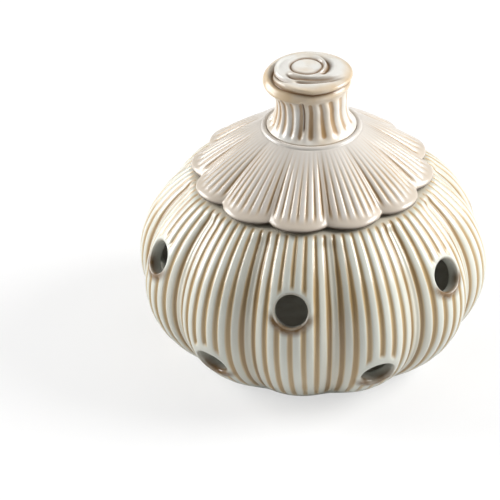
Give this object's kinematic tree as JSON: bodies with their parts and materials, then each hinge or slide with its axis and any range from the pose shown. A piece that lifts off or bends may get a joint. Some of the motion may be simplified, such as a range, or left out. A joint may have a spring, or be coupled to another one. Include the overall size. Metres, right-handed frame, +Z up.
{
  "type": "garlic keeper",
  "caption": "Bulb-shaped stoneware jar with fluted lobes, vent holes through the wall, and a scalloped lift-off lid with a twisted stem knob.",
  "frame": {"origin": "centre of the foot ring on the surface it stands on", "axes": "+Z up along the jar's axis; -Y through the lobe with an upper vent that faces the viewer"},
  "size_m": [0.1498, 0.1498, 0.1316],
  "materials": {
    "jar_glaze": "glossy reactive glaze on stoneware, pale on the ridges and tan in the grooves",
    "lid_glaze": "glossy reactive glaze on stoneware, warm white with tan in the grooves",
    "knob_glaze": "glossy reactive glaze on stoneware, cream with tan in the folds"
  },
  "bodies": {
    "jar": {"jar_body": "jar_glaze"},
    "lid": {"lid": "lid_glaze", "lid_knob": "knob_glaze"}
  },
  "joints": [
    {"name": "lid_lift", "type": "slide", "parent": "jar", "child": "lid", "axis": [0, 0, 1], "range_m": [0, 0.1]}
  ]
}
